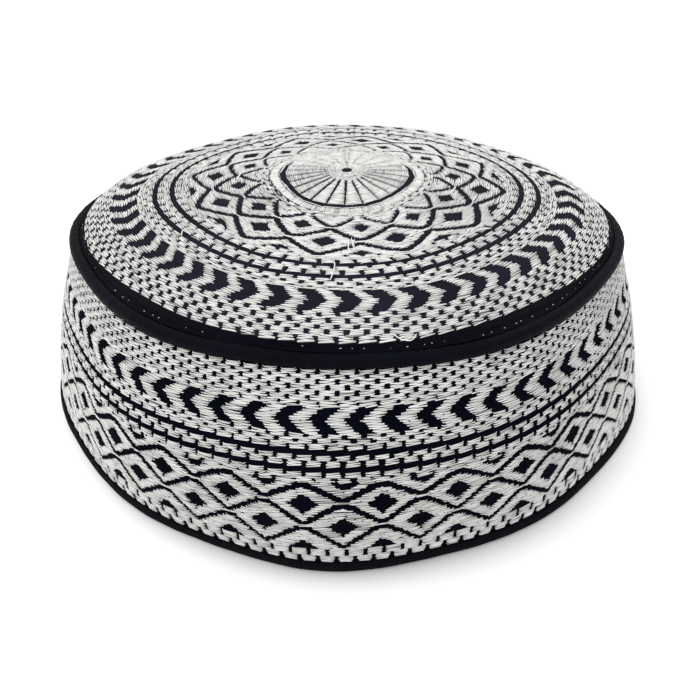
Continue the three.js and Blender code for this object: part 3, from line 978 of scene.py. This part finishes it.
def flange():
    """The flat of the piping's tape, with the ridge of its second fold."""
    t = T_ROUND[:-1]
    edge = outline(CROWN, t) + 0.40 + 0.8 * rearward(t)
    seam = seam_radius(t) + 0.75
    width = seam - edge
    ks = np.linspace(0, 1, 22)
    top, bottom = [], []
    for k in ks:
        r = seam + (edge - seam) * k
        z = crown_z(t, np.minimum(r, seam_radius(t)))
        ridge = 0.45 * np.exp(-(((k - 0.50 - 0.05 * round_soft(t, 4, 3, 14)) / 0.13) ** 2)) * np.clip((width - 2.6) / 1.5, 0.15, 1)
        lift = 0.46 + ridge - 0.30 * np.exp(-((k / 0.14) ** 2)) - 0.30 * np.exp(-(((k - 1) / 0.10) ** 2))
        lift = lift + 0.05 * round_soft(t + k, 6, 10, 60)
        top.append(polar(t, r, z + lift))
        bottom.append(polar(t, r, z + 0.02))
    loops = np.stack(top + bottom[::-1], 1)
    v = np.concatenate([[0], np.cumsum(np.linalg.norm(np.diff(loops[0], axis=0), axis=1)), [0]])
    v[-1] = v[-2] + 1
    obj = ring_mesh("flange_tape", loops, ARC_MM, v, flip=True)
    give(obj, tape_mat)
    return obj


def binding():
    """The folded tape round the hem."""
    t = T_ROUND[:-1]
    inner = -BAND_CLOTH - 0.05
    out = 0.05
    u = (np.interp((t + PI / 2 + PI) % (2 * PI) - PI - PI / 2, T_GRID, ARC[6]) - 0.5) * AROUND
    up = 0.10 * round_soft(t, 11, 6, 40)
    rise = hem_rise(u)
    puff = 0.06 * round_soft(t, 12, 8, 50)
    sec = [
        (out + TAPE - 0.42, 0.0), (out + TAPE + 0.02, 0.45), (out + TAPE + 0.22, 1.6), (out + TAPE + 0.2, 3.2),
        (out + TAPE + 0.02, 4.8), (out + TAPE - 0.28, TAPE_OUT - 0.1), (out + 0.35, TAPE_OUT + 0.15), (out + 0.02, TAPE_OUT - 0.2),
        (out, 3.0), (out, 1.25), (inner, 1.25), (inner, 3.0), (inner, TAPE_IN - 0.2), (inner - 0.4, TAPE_IN), (inner - TAPE + 0.05, TAPE_IN - 0.5),
        (inner - TAPE, 3.0), (inner - TAPE, 0.5), (inner - TAPE + 0.42, 0.0),
    ]
    p = np.array(sec)
    a, b = p, np.roll(p, -1, axis=0)
    fine = np.stack([a, 0.5 * (a + b)], 1).reshape(-1, 2)
    cols = []
    for o, z in fine:
        outside = 1.0 if o > 0.3 else 0.0
        zz = np.full_like(t, z) + (up if z > 2.5 else 0) * outside + rise * outside * max(0.0, z - 0.45) / TAPE_OUT
        cols.append(polar(t, wall(t, np.maximum(z, 0)) + o + puff * outside, zz))
    loops = np.stack(cols, 1)
    v = section_mm(fine)
    obj = ring_mesh("hem_tape", loops, ARC_MM, v, flip=True)
    give(obj, hem_mat)
    return obj


def blobs(name, centres, dirs, length, radius, mat):
    """Short rounded stitches joined in one mesh."""
    c = np.asarray(centres, float)
    d = np.asarray(dirs, float)
    d /= np.linalg.norm(d, axis=1)[:, None]
    upv = np.tile([0.0, 0.0, 1.0], (len(c), 1))
    s = np.cross(d, upv)
    s /= np.maximum(np.linalg.norm(s, axis=1)[:, None], 1e-6)
    w = np.cross(s, d)
    L = np.asarray(length)[:, None]
    R = np.asarray(radius)[:, None]
    rings = [(-0.5, 0.35), (-0.25, 1.0), (0.25, 1.0), (0.5, 0.35)]
    vs = []
    for f, g in rings:
        for k in range(6):
            a = k * PI / 3
            vs.append(c + d * L * f + (s * math.cos(a) + w * math.sin(a)) * R * g)
    v = np.stack(vs, 1)
    n = len(c)
    base = np.arange(n)[:, None, None] * 24
    i = np.arange(3)[None, :, None] * 6
    j = np.arange(6)[None, None, :]
    a_ = base + i + j
    b_ = base + i + (j + 1) % 6
    q = np.stack([a_, b_, b_ + 6, a_ + 6], -1).reshape(-1, 4)
    base = np.arange(n)[:, None] * 24
    caps = np.concatenate([
        np.concatenate([base + 3, base + 2, base + 1, base + 0], 1), np.concatenate([base + 5, base + 4, base + 3, base + 0], 1),
        np.concatenate([base + 18, base + 19, base + 20, base + 21], 1), np.concatenate([base + 18, base + 21, base + 22, base + 23], 1),
    ])
    q = np.concatenate([q, caps])
    obj = make_mesh(name, v.reshape(-1, 3), q, uv=np.zeros((len(q) * 4, 2)) + 0.5, tone=np.full(n * 24, 0.6))
    give(obj, mat)
    return obj


def groove_specks():
    """Light bobbin thread that shows in the groove beside the roll."""
    n = 150
    t = np.arange(n) * 2 * PI / n + rng.normal(0, 0.010, n) - PI / 2
    keep = rng.random(n) < np.where(np.cos(t) > 0, 0.8, 0.55)
    t = t[keep]
    r = seam_radius(t) - 0.15 + rng.normal(0, 0.12, len(t))
    z = crown_z(t, np.minimum(r, seam_radius(t))) + 0.42
    c = polar(t, r, z)
    d = np.stack([-np.sin(t), np.cos(t), np.zeros_like(t)], 1)
    return blobs("groove_stitches", c, d, np.full(len(t), 0.42) * rng.uniform(0.5, 1.3, len(t)), np.full(len(t), 0.11) * rng.uniform(0.6, 1.2, len(t)), thread)


def tube(name, paths, radius, mat):
    """Loose threads: each path is a list of points in mm."""
    vs, qs, off = [], [], 0
    for pts in paths:
        p = np.array(pts, float)
        # a smooth run through the points
        k = np.arange(len(p))
        kk = np.linspace(0, len(p) - 1, (len(p) - 1) * 6 + 1)
        i = np.clip(kk.astype(int), 0, len(p) - 2)
        f = (kk - i)[:, None]
        m = np.gradient(p, axis=0)
        q = (2 * f**3 - 3 * f**2 + 1) * p[i] + (f**3 - 2 * f**2 + f) * m[i] + (-2 * f**3 + 3 * f**2) * p[i + 1] + (f**3 - f**2) * m[i + 1]
        d = np.gradient(q, axis=0)
        d /= np.linalg.norm(d, axis=1)[:, None]
        s = np.cross(d, [0.1, 0.05, 1.0])
        s /= np.linalg.norm(s, axis=1)[:, None]
        w = np.cross(s, d)
        ring = []
        for j in range(6):
            a = j * PI / 3
            ring.append(q + (s * math.cos(a) + w * math.sin(a)) * radius)
        v = np.stack(ring, 1)
        n = len(q)
        ii, jj = np.meshgrid(np.arange(n - 1), np.arange(6), indexing="ij")
        a_ = off + ii * 6 + jj
        b_ = off + ii * 6 + (jj + 1) % 6
        qs.append(np.stack([a_, b_, b_ + 6, a_ + 6], -1).reshape(-1, 4))
        e = off + (n - 1) * 6
        qs.append(np.array([[off + 3, off + 2, off + 1, off], [off + 5, off + 4, off + 3, off], [e, e + 1, e + 2, e + 3], [e, e + 3, e + 4, e + 5]]))
        vs.append(v.reshape(-1, 3))
        off += n * 6
    v = np.concatenate(vs)
    q = np.concatenate(qs)
    obj = make_mesh(name, v, q, uv=np.zeros((len(q) * 4, 2)) + 0.5, tone=np.full(len(v), 0.9))
    give(obj, mat)
    return obj


# Loose threads on the crown: degrees from the near crease, charted radius,
# height over the cloth.
LOOSE = [
    [(-0.6, 61.4, 0.3), (-0.2, 60.0, 0.9), (0.1, 57.5, 1.0), (0.3, 55.6, 0.9), (0.4, 53.4, 0.4)],
    [(6.6, 49.0, 0.4), (6.0, 46.6, 1.0), (5.6, 43.6, 1.1), (5.2, 41.0, 0.3)],
    [(8.3, 47.6, 0.4), (7.7, 45.0, 1.1), (6.6, 42.6, 1.0), (6.2, 40.6, 0.3)],
    [(7.4, 45.2, 0.4), (7.2, 43.6, 0.9), (7.8, 41.6, 0.4)],
    [(40.5, 54.0, 0.4), (45.0, 53.4, 1.1), (50.0, 53.3, 1.1), (55.0, 54.4, 0.4)],
    [(-49.0, 60.6, 0.4), (-50.2, 59.4, 1.1), (-50.0, 57.4, 1.0), (-49.2, 56.4, 0.4)],
    [(12.0, 79.6, 0.4), (13.2, 81.4, 1.3), (14.4, 82.6, 1.5), (15.4, 81.8, 1.2), (16.2, 80.2, 0.5)],
    [(19.5, 79.6, 0.5), (18.2, 80.6, 1.1), (16.8, 80.0, 0.5)],
]


def loose_threads():
    paths = []
    for path in LOOSE:
        pts = []
        for th, r, h in path:
            pts.append(on_crown(np.array(th), np.array(min(r, 80.9)), np.array(h)) + (np.array([0, 0, 0]) if r <= 80.9 else np.array([math.cos(math.radians(th) - PI / 2), math.sin(math.radians(th) - PI / 2), 0]) * (r - 80.9)))
        paths.append(pts)
    return tube("loose_threads", paths, 0.14, thread)


# ------------------------------------------------------------ build
band = band_cloth()
crown = crown_cloth()
roll = piping()
flat = flange()
tape = binding()
specks = groove_specks()
loose = loose_threads()
band_work = embroider_band()
crown_work = embroider_crown()
for o in band_work + crown_work:
    give(o, thread)

for piece, nodes in (
    (band, "side_band"), (crown, "crown"), (roll, "crown_piping"), (flat, "piping_flange"), (tape, "hem_binding"),
):
    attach(piece, "root")
    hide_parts(nodes)
for piece in [specks, loose] + band_work + crown_work:
    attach(piece, "root")

# ------------------------------------------------------------ floor and light
def floor():
    size = 3.0
    v = np.array([[-size, -size, 0], [size, -size, 0], [size, size, 0], [-size, size, 0]]) * 1000
    obj = make_mesh("floor", v, [[0, 1, 2, 3]], uv=np.array([[0, 0], [1, 0], [1, 1], [0, 1]]), smooth=False)
    m, nt, b = new_material("pale_floor")
    tc = nt.nodes.new("ShaderNodeTexCoord")
    n = node(nt, "ShaderNodeTexNoise", Scale=8.0, Detail=2.0)
    nt.links.new(tc.outputs["Object"], n.inputs["Vector"])
    nt.links.new(ramp(nt, n.outputs["Fac"], [(0.3, (0.90, 0.90, 0.90)), (0.7, (0.93, 0.93, 0.93))]), b.inputs["Base Color"])
    b.inputs["Roughness"].default_value = 0.9
    b.inputs["Specular IOR Level"].default_value = 0.1
    give(obj, m)
    return obj


floor()


def area(name, at, aim, size, power, color=(1, 1, 1)):
    data = bpy.data.lights.new(name, "AREA")
    data.shape = "RECTANGLE"
    data.size, data.size_y = size
    data.energy = power
    data.color = color
    obj = bpy.data.objects.new(name, data)
    bpy.context.scene.collection.objects.link(obj)
    p, q = np.array(at, float), np.array(aim, float)
    z = p - q
    z /= np.linalg.norm(z)
    x = np.cross([0, 0, 1.0], z) if abs(z[2]) < 0.99 else np.array([1.0, 0, 0])
    x /= np.linalg.norm(x)
    y = np.cross(z, x)
    m = Matrix([[x[0], y[0], z[0], p[0]], [x[1], y[1], z[1], p[1]], [x[2], y[2], z[2], p[2]], [0, 0, 0, 1]])
    obj.matrix_world = m
    return obj


area("key", (-0.25, -0.35, 0.95), (0, 0, 0.04), (0.9, 0.9), 7.5)
area("front", (0.25, -1.0, 0.35), (0, 0, 0.03), (1.0, 0.6), 0.3)
area("rear", (0.1, 0.9, 0.6), (0, 0, 0.05), (1.0, 0.6), 2.0)

world = bpy.data.worlds.new("studio")
bpy.context.scene.world = world
world.use_nodes = True
bg = world.node_tree.nodes.get("Background") or world.node_tree.nodes.new("ShaderNodeBackground")
bg.inputs["Color"].default_value = (1.0, 1.0, 1.0, 1)
bg.inputs["Strength"].default_value = 0.88

bpy.context.scene.view_settings.view_transform = "Standard"
bpy.context.scene.view_settings.look = "None"

# ------------------------------------------------------------ camera
FOCAL_PX = 806.16
CENTRE_PX = (345.34, 321.93)
EYE = np.array([14.31, -239.67, 172.90])
AZ, EL, ROLL = 0.05962, 0.55678, -0.00312
back = np.array([math.sin(AZ) * math.cos(EL), -math.cos(AZ) * math.cos(EL), math.sin(EL)])
right = np.array([math.cos(AZ), math.sin(AZ), 0.0])
up = np.cross(back, right)
r2 = math.cos(ROLL) * right + math.sin(ROLL) * up
u2 = -math.sin(ROLL) * right + math.cos(ROLL) * up
cam_data = bpy.data.cameras.new("camera")
cam_data.sensor_width = 36.0
cam_data.lens = FOCAL_PX * 36.0 / 700.0
cam_data.shift_x = (350.0 - CENTRE_PX[0]) / 700.0
cam_data.shift_y = (CENTRE_PX[1] - 350.0) / 700.0
cam_data.clip_start = 0.01
cam_data.clip_end = 50.0
cam = bpy.data.objects.new("camera", cam_data)
bpy.context.scene.collection.objects.link(cam)
e = EYE * MM
cam.matrix_world = Matrix([
    [r2[0], u2[0], back[0], e[0]],
    [r2[1], u2[1], back[1], e[1]],
    [r2[2], u2[2], back[2], e[2]],
    [0, 0, 0, 1],
])
bpy.context.scene.camera = cam

total = 0
for piece in [band, crown, roll, flat, tape, specks, loose] + band_work + crown_work:
    faces = sum(len(p.vertices) - 2 for p in piece.data.polygons)
    total += faces
    print("triangles", piece.name, faces)
print("triangles in all", total)
